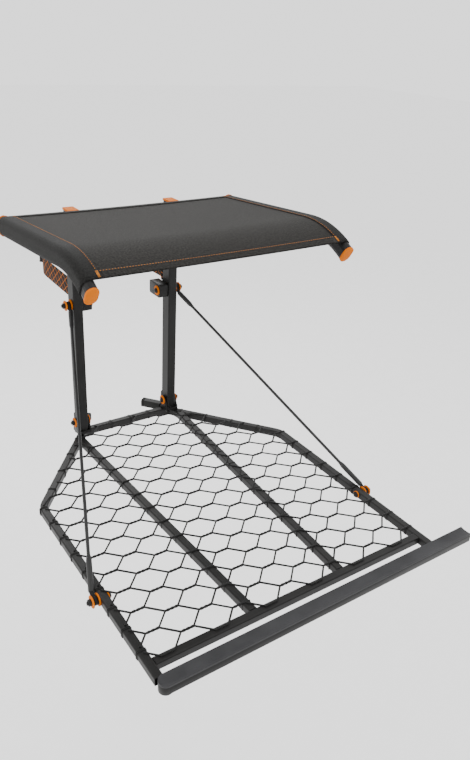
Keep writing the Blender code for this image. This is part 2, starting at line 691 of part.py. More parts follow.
def build_seat_rails():
    section = stadium(RAIL_WIDTH, RAIL_HEIGHT)
    plug = stadium(RAIL_WIDTH - 2 * RAIL_WALL - 2 * GAP, RAIL_HEIGHT - 2 * RAIL_WALL - 2 * GAP)
    path = rail_path()
    ends = (("front", RAIL_CAP_RIM, path[-1], path[-2]),
            ("rear", RAIL_REAR_CAP_RIM, path[0], path[1]))
    for side, sign in SIDES:
        x = sign * RAIL_X
        hollow_tube(f"seat_rail_{side}", [(x, y, z) for y, z in path], section,
                    RAIL_WALL, BLACK, SEAT)
        for end, rim, place, before in ends:
            out = (Vector((0, *place)) - Vector((0, *before))).normalized()
            turn = math.atan2(-out.y, out.z)
            middle = Vector((x, *place)) + out * (GAP + RAIL_CAP_LIP / 2)
            lip = stadium(RAIL_WIDTH + 2 * rim, RAIL_HEIGHT + 2 * rim)
            cap = plate(f"rail_cap_{end}_{side}", [lip], RAIL_CAP_LIP, ORANGE, SEAT,
                        middle, (turn, 0, 0))
            stem = plate("rail_cap_stem", [plug], CAP_PLUG + RAIL_CAP_LIP / 2, ORANGE, SEAT,
                         middle - out * (CAP_PLUG / 2 + RAIL_CAP_LIP / 4), (turn, 0, 0))
            combine(cap, stem, "UNION")


def rail_height_at(y):
    """Height of the rails' middle line over their straight part."""
    return RAIL_REAR_Z + (RAIL_REAR_Y - y) * math.tan(RAIL_SLOPE)


def build_seat_tubes():
    length = 2 * (RAIL_X - RAIL_WIDTH / 2 - GAP)
    inner = SEAT_TUBE - 2 * FRAME_WALL
    loops = [rounded_box(SEAT_TUBE, SEAT_TUBE, FRAME_CORNER),
             rounded_box(inner, inner, FRAME_CORNER - FRAME_WALL, 1)]
    for end, y in (("rear", SEAT_TUBE_REAR_Y), ("front", SEAT_TUBE_FRONT_Y)):
        plate(f"seat_tube_{end}", loops, length, BLACK, SEAT,
              (0, y, rail_height_at(y) - SEAT_TUBE_DROP), ALONG_X)


def build_seat_brackets():
    """From the rear seat tube to the seat bolts, with a web that stops against the post."""
    tube_z = rail_height_at(SEAT_TUBE_REAR_Y) - SEAT_TUBE_DROP - SEAT_PIVOT_Z
    front = SEAT_TUBE_REAR_Y + SEAT_TUBE / 2 + GAP
    outline = ([(front, tube_z + SEAT_TUBE / 2), (front, -SEAT_STOP_LOW),
                (-POST_BACK, -SEAT_STOP_LOW)]
               + arc((0, 0), EAR_RADIUS, -math.radians(60), math.radians(100), 10))
    channel = channel_outline(-POST_BACK - GAP, -4 * POST_DEPTH, -SEAT_STOP_TOP)
    build_brackets("seat_bracket", outline, channel, SEAT, SEAT_PIVOT)


def build_sling():
    """The seat cloth: a flat span with its edges hooked round both rails."""
    radius = RAIL_WIDTH / 2 + GAP
    rise = (RAIL_HEIGHT - RAIL_WIDTH) / 2
    hook = (arc((-RAIL_X, -rise), radius, -math.pi / 2, -math.pi, 5)
            + arc((-RAIL_X, rise), radius, math.pi, math.pi / 2, 5))
    section = hook + [(-x, y) for x, y in hook[::-1]]
    path = [(0, y, z) for y, z in rail_path(SLING_FRONT_INSET, SLING_BACK_Y)]
    sheet = swept("seat_sling", path, section, cyclic=False)
    middle = Vector(path[0]) - Vector((0, 0, RAIL_HEIGHT))
    face_outwards(sheet, middle)
    finish(thicken(sheet, SLING_THICKNESS, offset=1), CHARCOAL, SEAT)


# ---- cables and fasteners -----------------------------------------------------------------
def cable_route(sign):
    """Points from the upper eye to the lower one, each with the cable's radius there."""
    top = Vector((sign * CABLE_TOP_X, 0, CABLE_TOP_Z))
    low = Vector((sign * CABLE_FRONT_X, CABLE_FRONT_Y, 0))
    square = Vector((0, CABLE_FRONT_Y, -CABLE_TOP_Z)).normalized()
    top_bend, low_bend = top + square * EYE_STRAIGHT, low - square * EYE_STRAIGHT
    way = (low_bend - top_bend).normalized()
    top_sleeve = top_bend + way * (SLEEVE_TOP - EYE_STRAIGHT)
    low_sleeve = low_bend - way * (SLEEVE_LOW - EYE_STRAIGHT)
    start = square * EYE_RADIUS * 0.7
    step = way * GAP
    return [(top + start, SLEEVE_RADIUS), (top_bend, SLEEVE_RADIUS), (top_sleeve, SLEEVE_RADIUS),
            (top_sleeve + step, CABLE_RADIUS), (low_sleeve - step, CABLE_RADIUS),
            (low_sleeve, SLEEVE_RADIUS), (low_bend, SLEEVE_RADIUS), (low - start, SLEEVE_RADIUS)]


def build_cables():
    """Steel cables with sleeved eyes at both ends."""
    eye = [circle(EYE_RADIUS), circle(CABLE_BOLT_RADIUS + GAP, 10)]
    for side, sign in SIDES:
        route = cable_route(sign)
        cable = add_curve(f"cable_{side}", [[tuple(place) for place, _ in route]], "3D", cyclic=False)
        cable.data.bevel_depth = 1
        cable.data.bevel_resolution = 2
        cable.data.use_fill_caps = True
        for point, (_, radius) in zip(cable.data.splines[0].points, route):
            point.radius = radius
        cable = finish(as_mesh(cable), STEEL, FRAME)
        for place in ((sign * CABLE_TOP_X, 0, CABLE_TOP_Z), (sign * CABLE_FRONT_X, CABLE_FRONT_Y, 0)):
            ring = plate("cable_eye", eye, EYE_THICKNESS, RUBBER, FRAME, place, ALONG_X)
            combine(cable, ring, "UNION")


def build_bolts(name, pivot, y, z, inner_face, outer_face, inner_washer=WASHER_RADIUS):
    """Bolts with a washer under the head and one under the nut, heads towards the middle."""
    grip = outer_face - inner_face + 2 * GAP
    washer_end = -2 * WASHER_THICKNESS - grip
    nut_end = washer_end - NUT_THICKNESS
    profile = [(0, BOLT_HEAD_HEIGHT), (BOLT_HEAD_RADIUS * 0.6, BOLT_HEAD_HEIGHT * 0.85),
               (BOLT_HEAD_RADIUS, BOLT_HEAD_HEIGHT * 0.3), (BOLT_HEAD_RADIUS, 0),
               (inner_washer, 0), (inner_washer, -WASHER_THICKNESS),
               (CABLE_BOLT_RADIUS, -WASHER_THICKNESS),
               (CABLE_BOLT_RADIUS, -WASHER_THICKNESS - grip),
               (WASHER_RADIUS, -WASHER_THICKNESS - grip), (WASHER_RADIUS, washer_end),
               (NUT_RADIUS, washer_end), (NUT_RADIUS, nut_end), (CABLE_BOLT_RADIUS, nut_end),
               (CABLE_BOLT_RADIUS, nut_end - THREAD_END), (0, nut_end - THREAD_END)]
    for side, sign in SIDES:
        place = (sign * (inner_face - GAP - WASHER_THICKNESS), y, z)
        turned(f"{name}_{side}", profile, BLACK, pivot, place, (0, -sign * math.pi / 2, 0))


def build_fasteners():
    build_bolts("platform_bolt", FRAME, 0, PLATFORM_PIVOT_Z, POST_X - EAR_FACE, POST_X + EAR_FACE)
    build_bolts("seat_bolt", FRAME, 0, SEAT_PIVOT_Z, POST_X - EAR_FACE, POST_X + EAR_FACE)
    build_bolts("cable_bolt_upper", FRAME, 0, CABLE_TOP_Z,
                POST_X - POST_HALF - GAP - UPPER_ARM_WIDTH, CABLE_TOP_X + EYE_THICKNESS / 2)
    build_bolts("cable_bolt_lower", PLATFORM, CABLE_FRONT_Y, 0,
                FRAME_HALF_WIDTH - FRAME_TUBE / 2, CABLE_FRONT_X + EYE_THICKNESS / 2,
                inner_washer=FRAME_TUBE / 2)
    washer = [circle(WASHER_RADIUS), circle(CABLE_BOLT_RADIUS + GAP, 10)]
    ends = (("upper", FRAME, POST_X + POST_HALF, 0, CABLE_TOP_Z),
            ("lower", PLATFORM, FRAME_HALF_WIDTH + FRAME_TUBE / 2, CABLE_FRONT_Y, 0))
    for name, pivot, face, y, z in ends:
        for side, sign in SIDES:
            plate(f"cable_washer_{name}_{side}", washer, WASHER_THICKNESS, ORANGE, pivot,
                  (sign * (face + GAP + WASHER_THICKNESS / 2), y, z), ALONG_X)


# ---- trunk strap and its ratchet -------------------------------------------------------------
def build_staples():
    """Rod staples behind the posts that the strap's ends loop round."""
    y0, y1 = POST_BACK + GAP, STAPLE_Y
    corners = [(y0, STAPLE_HALF), (y1, STAPLE_HALF), (y1, -STAPLE_HALF), (y0, -STAPLE_HALF)]
    flat = bend_path(corners, [2 * STAPLE_ROD, 2 * STAPLE_ROD], math.radians(30))
    for side, sign in SIDES:
        path = [(sign * POST_X, y, STRAP_Z + z) for y, z in flat]
        rod = add_curve(f"strap_staple_{side}", [path], "3D", cyclic=False)
        rod.data.bevel_depth = STAPLE_ROD
        rod.data.bevel_resolution = 2
        rod.data.use_fill_caps = True
        finish(as_mesh(rod), BLACK, FRAME)


def strap_path(leave):
    """Round the left staple, along the tangent to the trunk and round it to an angle."""
    bar, trunk = Vector((POST_X, STAPLE_Y)), Vector((0, TRUNK_Y))
    # the strap crosses from the staple's outer side to the trunk's outer side
    slope = math.asin((STRAP_RADIUS - HOOK_RADIUS) / (trunk - bar).length)
    contact = math.atan2(bar.y - trunk.y, bar.x - trunk.x) + math.pi / 2 - slope
    hook = arc(bar, HOOK_RADIUS, contact - HOOK_TURN, contact, 12)
    return hook + arc(trunk, STRAP_RADIUS, contact, leave, 14)


def build_straps():
    """Webbing from the right staple to the spool, and from the left staple to the anchor."""
    place = (0, 0, STRAP_Z)
    spool_side = Vector((-SPOOL_RADIUS - GAP - STRAP_THICKNESS / 2, SPOOL_Y))
    long_path = [(-x, y) for x, y in strap_path(math.pi - SPOOL_LEAVE)] + [tuple(spool_side)]
    plate("trunk_strap_right", [band(long_path, STRAP_THICKNESS)], STRAP_WIDTH, WEBBING, FRAME, place)
    pin = Vector((RATCHET_LENGTH, SPOOL_Y))
    first = math.radians(-50)
    hook = arc(pin, HOOK_RADIUS, first, first + HOOK_TURN, 12)
    short_path = strap_path(ANCHOR_LEAVE) + hook
    plate("trunk_strap_left", [band(short_path, STRAP_THICKNESS)], STRAP_WIDTH, WEBBING,
          FRAME, place)


def lens(radius_a, radius_b, length):
    """Outline round two circles a length apart along X."""
    return (arc((0, 0), radius_a, math.pi / 2, 3 * math.pi / 2, 10)
            + arc((length, 0), radius_b, -math.pi / 2, math.pi / 2, 8))


def build_plate_pair(name, loops, height, material, pivot, joining):
    """Two plates at equal heights above and below the strap, joined by a third piece."""
    upper, lower = (plate(label, loops, RATCHET_PLATE, material, pivot, SPOOL_AXIS + Vector((0, 0, z)))
                    for label, z in ((name, height), (name + "_lower", -height)))
    combine(upper, lower, "UNION")
    combine(upper, joining, "UNION")


def build_ratchet():
    plate_z = RATCHET_INNER + RATCHET_PLATE / 2
    loops = [lens(GEAR_RADIUS - 2 * MM, 3 * STAPLE_ROD, RATCHET_LENGTH), circle(SPOOL_RADIUS + GAP),
             circle(STAPLE_ROD + GAP, 12, (RATCHET_LENGTH, 0))]
    bridge = plate("ratchet_bridge", [rounded_box(22 * MM, RATCHET_PLATE, 1 * MM, 1)],
                   2 * plate_z, STEEL, FRAME,
                   (RATCHET_LENGTH / 2, SPOOL_Y + SPOOL_RADIUS, STRAP_Z))
    build_plate_pair("ratchet_frame", loops, plate_z, STEEL, FRAME, bridge)
    plate("ratchet_anchor_pin", [circle(STAPLE_ROD)], 2 * (RATCHET_INNER + RATCHET_PLATE + GAP),
          STEEL, FRAME, SPOOL_AXIS + Vector((RATCHET_LENGTH, 0, 0)))


def build_spool():
    """The strap's spool with a toothed wheel outside each plate of the frame."""
    teeth = []
    for tooth in range(GEAR_TEETH):
        for radius, share in ((GEAR_RADIUS, 0), (GEAR_ROOT, 0.7)):
            angle = 2 * math.pi * (tooth + share) / GEAR_TEETH
            teeth.append((radius * math.cos(angle), radius * math.sin(angle)))
    gear_z = RATCHET_INNER + RATCHET_PLATE + GAP + GEAR_THICKNESS / 2
    top = gear_z + GEAR_THICKNESS / 2 + 2 * GAP + RATCHET_PLATE
    spool = plate("ratchet_spool", [circle(SPOOL_RADIUS, 20)], 2 * top, STEEL, FRAME, SPOOL_AXIS)
    for z in (gear_z, -gear_z):
        gear = plate("gear", [teeth], GEAR_THICKNESS, STEEL, FRAME, SPOOL_AXIS + Vector((0, 0, z)))
        combine(spool, gear, "UNION")


def build_handle():
    """The lever on the spool's axle, and the sprung pawl that drives its toothed wheels."""
    plate_z = RATCHET_INNER + RATCHET_PLATE + GEAR_THICKNESS + 2 * GAP + RATCHET_PLATE / 2
    loops = [[(-x, y) for x, y in lens(GEAR_RADIUS - 3 * MM, GRIP_RADIUS + 1 * MM, HANDLE_LENGTH)],
             circle(SPOOL_RADIUS + GAP)]
    grip = plate("handle_grip", [circle(GRIP_RADIUS)], 2 * plate_z, BLACK, HANDLE,
                 SPOOL_AXIS - Vector((HANDLE_LENGTH, 0, 0)))
    build_plate_pair("ratchet_handle", loops, plate_z, BLACK, HANDLE, grip)
    plate("ratchet_pawl", [rounded_box(PAWL_LENGTH, PAWL_THICKNESS, 1 * MM, 1)],
          2 * (plate_z - RATCHET_PLATE / 2 - GAP), STEEL, HANDLE,
          SPOOL_AXIS - Vector((GEAR_RADIUS + RUNNING_GAP + PAWL_LENGTH / 2, 0, 0)))


clear_scene()
PARTS = make_collection("tree_stand")
CUTTERS = make_collection("cutters")
BLACK = make_material("black powder coat", (0.028, 0.029, 0.031), 0.42, 0.3)
ORANGE = make_material("orange plastic", (0.85, 0.32, 0.08), 0.45)
RUBBER = make_material("black rubber", (0.02, 0.02, 0.02), 0.8)
GREY = make_material("grey grip strip", (0.10, 0.10, 0.11), 0.6)
CHARCOAL = make_material("charcoal sling cloth", (0.09, 0.088, 0.083), 0.9)
WEBBING = make_material("black webbing", (0.03, 0.03, 0.03), 0.9)
STEEL = make_material("zinc plated steel", (0.45, 0.45, 0.46), 0.4, 0.9)
FRAME = make_empty("stand_frame", Vector((0, 0, 0)))
PLATFORM = make_empty("platform_pivot", PLATFORM_PIVOT, FRAME)
SEAT = make_empty("seat_pivot", SEAT_PIVOT, FRAME)
HANDLE = make_empty("handle_pivot", SPOOL_AXIS, FRAME)

build_posts()
build_crossbar()
build_blades()
build_lower_arms()
build_upper_arms()
build_loop_tube()
build_side_tubes()
build_front_bar()
build_footrest()
build_deck()
build_platform_brackets()
build_seat_rails()
build_seat_tubes()
build_seat_brackets()
build_sling()
build_cables()
build_fasteners()
build_staples()
build_straps()
build_ratchet()
build_spool()
build_handle()
bpy.context.view_layer.update()
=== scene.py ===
# %% [markdown]
# A hang-on tree stand: two upright posts, a platform of bent square tubes with a twisted
# wire deck, two steel cables that carry it, and a sling seat. Its solid parts come from the
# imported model. They are already the right size and in the right place, so this lesson only
# adds what such solids can't show: cloth, twisted wire, stitches, soft edges and finishes.

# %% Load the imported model
import json
import math

import bmesh
import bpy
import numpy as np
from mathutils import Matrix, Vector


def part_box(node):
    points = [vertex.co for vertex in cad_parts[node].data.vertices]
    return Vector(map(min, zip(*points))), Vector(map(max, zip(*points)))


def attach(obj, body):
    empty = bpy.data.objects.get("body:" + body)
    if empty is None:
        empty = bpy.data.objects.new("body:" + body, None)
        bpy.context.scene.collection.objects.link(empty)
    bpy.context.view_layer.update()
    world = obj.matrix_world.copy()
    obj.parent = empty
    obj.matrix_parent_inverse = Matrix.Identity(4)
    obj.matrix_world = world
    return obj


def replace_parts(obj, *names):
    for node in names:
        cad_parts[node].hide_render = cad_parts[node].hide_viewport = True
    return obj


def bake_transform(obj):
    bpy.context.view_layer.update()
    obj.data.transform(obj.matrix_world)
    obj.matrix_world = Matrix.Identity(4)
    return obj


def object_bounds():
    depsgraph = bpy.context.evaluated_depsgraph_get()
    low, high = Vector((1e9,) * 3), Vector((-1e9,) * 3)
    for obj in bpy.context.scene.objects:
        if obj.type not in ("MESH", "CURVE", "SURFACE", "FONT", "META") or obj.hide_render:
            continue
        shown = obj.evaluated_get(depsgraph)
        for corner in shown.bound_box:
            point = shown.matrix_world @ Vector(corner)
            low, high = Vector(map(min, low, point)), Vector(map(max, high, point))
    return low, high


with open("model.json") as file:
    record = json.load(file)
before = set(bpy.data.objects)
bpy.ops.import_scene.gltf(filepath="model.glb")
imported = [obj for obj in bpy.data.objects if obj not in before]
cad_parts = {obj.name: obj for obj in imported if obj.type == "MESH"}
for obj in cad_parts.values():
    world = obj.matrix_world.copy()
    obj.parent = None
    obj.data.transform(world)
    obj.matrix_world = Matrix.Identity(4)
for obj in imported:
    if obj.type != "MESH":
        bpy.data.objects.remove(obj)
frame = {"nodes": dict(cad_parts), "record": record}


def plain_box():
    return [[float(value) for value in corner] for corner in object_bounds()]


packed_box = plain_box()
MM = 0.001
print("packed model", packed_box)

# %% [markdown]
# Every place below is given from one natural point of the stand: level with the middle of
# the platform's tubes, and in line with the middle of the posts. The loaded boxes say where
# that point lies, so nothing here has to be changed if the whole model is moved.

# %% The stand's own zero point
post_low, post_high = (Vector(corner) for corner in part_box("post_left"))
tube_low, tube_high = (Vector(corner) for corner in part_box("loop_tube"))
ZERO = Vector((0, (post_low.y + post_high.y) / 2, (tube_low.z + tube_high.z) / 2))
TUBE = tube_high.z - tube_low.z


def at(x, y, z):
    """A place in the model's space, from millimetres counted from the stand's zero point."""
    return ZERO + Vector((x, y, z)) * MM


print("zero point", tuple(ZERO), "tube", TUBE)

# %% [markdown]
# The camera looks down on the stand from its front right, a little tilted, as someone
# would see it from a ladder. A camera without a turn looks straight down, so it is
# first rolled about its own line of sight, then tipped up, then swung round the stand.

# %% Camera
camera = bpy.data.objects.new("camera", bpy.data.cameras.new("camera"))
bpy.context.scene.collection.objects.link(camera)
ROLL, TIP, SWING = math.radians(3.478), math.radians(90 - 26.978), math.radians(-35.746)
camera.matrix_world = (Matrix.Translation(at(-784.2, -1618.9, 1058.8))
                       @ Matrix.Rotation(SWING, 4, "Z") @ Matrix.Rotation(TIP, 4, "X")
                       @ Matrix.Rotation(ROLL, 4, "Z"))
camera.data.sensor_width = 36
camera.data.lens = 33.318
bpy.context.scene.camera = camera
print("camera", tuple(camera.location))

# %% [markdown]
# The stand hangs in the air, so the floor is well below it, and its shadow is faint. Light
# comes from a pale sky all round and from three large soft lamps. Large lamps give black
# paint long mild highlights, which show the shape of the tubes.

# %% Floor and light
FLOOR_DROP = 900 * MM


def deselect_all():
    if bpy.context.object and bpy.context.object.mode != "OBJECT":
        bpy.ops.object.mode_set(mode="OBJECT")
    bpy.ops.object.select_all(action="DESELECT")


def choose(piece):
    """Select one piece alone and make it the active one, as operators expect."""
    deselect_all()
    piece.select_set(True)
    bpy.context.view_layer.objects.active = piece


def in_scene(name, data):
    """A new object for some data, in the scene."""
    piece = bpy.data.objects.new(name, data)
    bpy.context.scene.collection.objects.link(piece)
    return piece


deselect_all()
bpy.ops.mesh.primitive_plane_add(size=40, location=(0, 0, packed_box[0][2] - FLOOR_DROP))
floor = bpy.context.object
floor.name = "studio_floor"


def add_lamp(name, place, aim, size, power):
    lamp = in_scene(name, bpy.data.lights.new(name, "AREA"))
    lamp.data.size = size
    lamp.data.energy = power
    lamp.location = place
    lamp.rotation_euler = (aim - place).to_track_quat("-Z", "Y").to_euler()


middle = at(0, -400, 300)
add_lamp("key_lamp", at(1800, -2200, 2600), middle, 1.6, 32)
add_lamp("left_lamp", at(-2600, -600, 1400), middle, 1.6, 30)
add_lamp("back_lamp", at(600, 2200, 2400), middle, 1.4, 45)

world = bpy.context.scene.world or bpy.data.worlds.new("studio")
bpy.context.scene.world = world
world.use_nodes = True
world.node_tree.nodes["Background"].inputs["Color"].default_value = (1, 1, 1, 1)
world.node_tree.nodes["Background"].inputs["Strength"].default_value = 1.7
print("three lamps and a pale world")

# %% [markdown]
# A finish is more than a colour. Powder coat is a little rough and slightly uneven, cloth
# has a weave, plastic has faint flow marks. Each material below starts from the same small
# helper: a shader whose colour and roughness wander a little with soft noise, and whose
# surface gets a fine bump. All patterns use object coordinates or the piece's own map.

# %% Material helper
def new_material(name, dark, light, roughness, spread, grain, bump, metallic=0.0, shine=0.5):
    """Colour between two tones, roughness about a middle value, and a fine bumpy grain."""
    material = bpy.data.materials.new(name)
    material.use_nodes = True
    nodes, links = material.node_tree.nodes, material.node_tree.links
    shader = nodes["Principled BSDF"]
    shader.inputs["Metallic"].default_value = metallic
    shader.inputs["Specular IOR Level"].default_value = shine
    place = nodes.new("ShaderNodeTexCoord")
    soft = nodes.new("ShaderNodeTexNoise")
    soft.inputs["Scale"].default_value = 14
    soft.inputs["Detail"].default_value = 6
    links.new(place.outputs["Object"], soft.inputs["Vector"])
    tones = nodes.new("ShaderNodeValToRGB")
    tones.color_ramp.elements[0].position = 0.35
    tones.color_ramp.elements[0].color = (*dark, 1)
    tones.color_ramp.elements[1].position = 0.7
    tones.color_ramp.elements[1].color = (*light, 1)
    links.new(soft.outputs["Fac"], tones.inputs["Fac"])
    links.new(tones.outputs["Color"], shader.inputs["Base Color"])
    wander = nodes.new("ShaderNodeMapRange")
    wander.inputs["To Min"].default_value = roughness - spread
    wander.inputs["To Max"].default_value = roughness + spread
    links.new(soft.outputs["Fac"], wander.inputs["Value"])
    links.new(wander.outputs["Result"], shader.inputs["Roughness"])
    fine = nodes.new("ShaderNodeTexNoise")
    fine.inputs["Scale"].default_value = grain
    fine.inputs["Detail"].default_value = 3
    links.new(place.outputs["Object"], fine.inputs["Vector"])
    relief = nodes.new("ShaderNodeBump")
    relief.inputs["Strength"].default_value = bump
    relief.inputs["Distance"].default_value = 0.4 * MM
    links.new(fine.outputs["Fac"], relief.inputs["Height"])
    links.new(relief.outputs["Normal"], shader.inputs["Normal"])
    return material


# %% Finishes of the hard parts
powder_coat = new_material("black_powder_coat", (0.0038, 0.0036, 0.0034), (0.0080, 0.0076, 0.0072),
                           0.45, 0.08, 700, 0.3, shine=0.22)
wire_coat = new_material("dark_wire_coat", (0.0040, 0.0039, 0.0038), (0.0075, 0.0073, 0.0070),
                         0.5, 0.08, 900, 0.15, shine=0.2)
orange = new_material("orange_plastic", (0.46, 0.105, 0.0), (0.55, 0.135, 0.0),
                      0.6, 0.06, 500, 0.1, shine=0.06)
rubber = new_material("black_rubber", (0.0045, 0.0045, 0.0045), (0.0090, 0.0090, 0.0088),
                      0.75, 0.08, 900, 0.3, shine=0.25)
zinc = new_material("zinc_plate", (0.22, 0.22, 0.23), (0.36, 0.36, 0.37),
                    0.38, 0.1, 400, 0.1, metallic=0.9)
grip = new_material("grey_grip_strip", (0.022, 0.022, 0.0235), (0.036, 0.036, 0.038),
                    0.6, 0.08, 420, 0.9, shine=0.18)
thread = new_material("orange_thread", (0.36, 0.115, 0.008), (0.48, 0.17, 0.018),
                      0.7, 0.08, 900, 0.2, shine=0.25)
floor_paint = new_material("pale_floor", (0.95, 0.95, 0.95), (0.97, 0.97, 0.97),
                           0.9, 0.03, 20, 0.0)
floor.data.materials.append(floor_paint)
print("finishes", len(bpy.data.materials))

# %% [markdown]
# Cloth needs a weave that follows the cloth, not the room. The sheet's own map is laid out
# in metres, so two sets of fine bands, one along each thread direction, cross on it at the
# same size everywhere. Their product darkens the gaps between threads and lifts the bump.
# A wave texture of scale 1 has a band every 0.314 metres, so the scale sets the pitch.

# %% Woven material helper
BAND_AT_SCALE_ONE = 0.314
DIAMOND = 16 * MM


def woven_in(nodes, links, place, ground, shader, colour):
    """Crossing diagonal threads of a second colour over a woven ground."""
    strands = []
    for lean in (45, -45):
        turn = nodes.new("ShaderNodeMapping")
        turn.inputs["Rotation"].default_value[2] = math.radians(lean)
        links.new(place.outputs["UV"], turn.inputs["Vector"])
        band = nodes.new("ShaderNodeTexWave")
        band.inputs["Scale"].default_value = BAND_AT_SCALE_ONE / DIAMOND
        links.new(turn.outputs["Vector"], band.inputs["Vector"])
        thin = nodes.new("ShaderNodeMath")
        thin.operation = "GREATER_THAN"
        thin.inputs[1].default_value = 0.98
        links.new(band.outputs["Fac"], thin.inputs[0])
        strands.append(thin)
    either = nodes.new("ShaderNodeMath")
    either.operation = "MAXIMUM"
    for socket, strand in zip(either.inputs, strands):
        links.new(strand.outputs["Value"], socket)
    blend = nodes.new("ShaderNodeMix")
    blend.data_type = "RGBA"
    blend.inputs["B"].default_value = (*colour, 1)
    links.new(either.outputs["Value"], blend.inputs["Factor"])
    links.new(ground.outputs["Color"], blend.inputs["A"])
    links.new(blend.outputs["Result"], shader.inputs["Base Color"])


def new_weave(name, dark, light, pitch, roughness, bump, sheen, accent=None):
    material = bpy.data.materials.new(name)
    material.use_nodes = True
    nodes, links = material.node_tree.nodes, material.node_tree.links
    shader = nodes["Principled BSDF"]
    shader.inputs["Roughness"].default_value = roughness
    shader.inputs["Sheen Weight"].default_value = sheen
    shader.inputs["Specular IOR Level"].default_value = 0.08
    place = nodes.new("ShaderNodeTexCoord")
    bands = []
    for direction in ("X", "Y"):
        band = nodes.new("ShaderNodeTexWave")
        band.bands_direction = direction
        band.inputs["Scale"].default_value = BAND_AT_SCALE_ONE / pitch
        band.inputs["Distortion"].default_value = 0.6
        band.inputs["Detail Scale"].default_value = 2
        links.new(place.outputs["UV"], band.inputs["Vector"])
        bands.append(band)
    cross = nodes.new("ShaderNodeMath")
    cross.operation = "MULTIPLY"
    for socket, band in zip(cross.inputs, bands):
        links.new(band.outputs["Fac"], socket)
    mottle = nodes.new("ShaderNodeTexNoise")
    mottle.inputs["Scale"].default_value = 260
    mottle.inputs["Detail"].default_value = 3
    links.new(place.outputs["UV"], mottle.inputs["Vector"])
    share = nodes.new("ShaderNodeMath")
    share.operation = "MULTIPLY_ADD"
    share.inputs[1].default_value = 0.55
    links.new(cross.outputs["Value"], share.inputs[0])
    links.new(mottle.outputs["Fac"], share.inputs[2])
    tones = nodes.new("ShaderNodeValToRGB")
    tones.color_ramp.elements[0].position = 0.42
    tones.color_ramp.elements[0].color = (*dark, 1)
    tones.color_ramp.elements[1].position = 0.92
    tones.color_ramp.elements[1].color = (*light, 1)
    links.new(share.outputs["Value"], tones.inputs["Fac"])
    links.new(tones.outputs["Color"], shader.inputs["Base Color"])
    if accent:
        woven_in(nodes, links, place, tones, shader, accent)
    relief = nodes.new("ShaderNodeBump")
    relief.inputs["Strength"].default_value = bump
    relief.inputs["Distance"].default_value = 0.5 * MM
    links.new(cross.outputs["Value"], relief.inputs["Height"])
    links.new(relief.outputs["Normal"], shader.inputs["Normal"])
    return material


sling_weave = new_weave("charcoal_sling_weave", (0.0040, 0.0038, 0.0035), (0.034, 0.032, 0.029),
                        2.6 * MM, 0.8, 0.9, 0.03)
sleeve_weave = new_weave("dark_sleeve_weave", (0.004, 0.004, 0.0038), (0.018, 0.0175, 0.0165),
                         1.6 * MM, 0.8, 0.5, 0.04)
webbing = new_weave("black_webbing", (0.005, 0.005, 0.005), (0.014, 0.014, 0.0135),
                    1.5 * MM, 0.8, 0.8, 0.04, accent=(0.40, 0.10, 0.004))
print("woven finishes", sling_weave.name, sleeve_weave.name, webbing.name)

# %% [markdown]
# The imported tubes, plates and caps have knife-sharp edges, because a solid model doesn't
# need more. Real ones are rounded by bending, moulding and paint, and those thin rounded
# edges catch the light. A copy of each such part is merged into one skin, its flat faces
# are joined up again, and a small bevel softens its edges. The copy then stands for the part.

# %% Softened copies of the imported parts
def merged_copy(node, name, dissolve=True):
    """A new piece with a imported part's shape, as one skin with whole flat faces."""
    mesh = frame["nodes"][node].data.copy()
    skin = bmesh.new()
    skin.from_mesh(mesh)
    bmesh.ops.remove_doubles(skin, verts=skin.verts, dist=0.01 * MM)
    if dissolve:
        bmesh.ops.dissolve_limit(skin, angle_limit=math.radians(1), verts=skin.verts,
                                 edges=skin.edges)
    skin.to_mesh(mesh)
    skin.free()
    mesh.materials.clear()
    return in_scene(name, mesh)


def smooth(piece, degrees=35):
    choose(piece)
    bpy.ops.object.shade_smooth_by_angle(angle=math.radians(degrees))
    return piece


def apply_bevel(piece, width, segments=2, degrees=40):
    bevel = piece.modifiers.new("Soft edges", "BEVEL")
    bevel.width = width
    bevel.segments = segments
    bevel.limit_method = "ANGLE"
    bevel.angle_limit = math.radians(degrees)
    choose(piece)
    bpy.ops.object.modifier_apply(modifier=bevel.name)
    return piece


def body_of(node):
    return next(body for body, nodes in frame["record"]["behaviour"]["bodies"].items()
                if node in nodes)


def soften(node, material, width):
    piece = merged_copy(node, node + "_soft")
    piece.data.materials.append(material)
    smooth(apply_bevel(piece, width))
    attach(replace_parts(piece, node), body_of(node))
    return piece


SIDES = ("left", "right")
softened = {
    "orange_plastic": (orange, 1.0, ["post_cap", "rail_cap_front", "rail_cap_rear"]),
    "black_rubber": (rubber, 3.0, ["arm_tip"]),
    "black_powder_coat": (powder_coat, 0.5, ["upper_arm", "seat_bracket", "platform_bracket"]),
}
for slot, (material, width, names) in softened.items():
    for name in names:
        for side in SIDES:
            soften(f"{name}_{side}", material, width * MM)
soften("footrest_tube", powder_coat, 0.8 * MM)
print("softened", sum(len(names) for _, _, names in softened.values()) * len(SIDES) + 1)

# %% [markdown]
# Some parts look right as they are and only need their finish: the tubes already have
# round corners. A part's material slot is simply given the new material.

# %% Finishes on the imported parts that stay
def paint(material, *names):
    for name in names:
        node = frame["nodes"][name]
        node.data.materials.clear()
        node.data.materials.append(material)


def on_both_sides(*names):
    return [f"{name}_{side}" for name in names for side in SIDES]


paint(powder_coat, "loop_tube", "front_crossbar", "upper_crossbar",
      "trunk_blade_upper", "trunk_blade_lower", "seat_tube_front", "seat_tube_rear",
      "ratchet_handle", *on_both_sides("post", "side_tube", "lower_arm", "strap_staple",
                                       "seat_rail"))
paint(orange, *on_both_sides("cable_washer_upper", "cable_washer_lower"))
paint(zinc, "ratchet_frame", "ratchet_anchor_pin", "ratchet_spool", "ratchet_pawl")
print("painted the tubes, washers and ratchet")

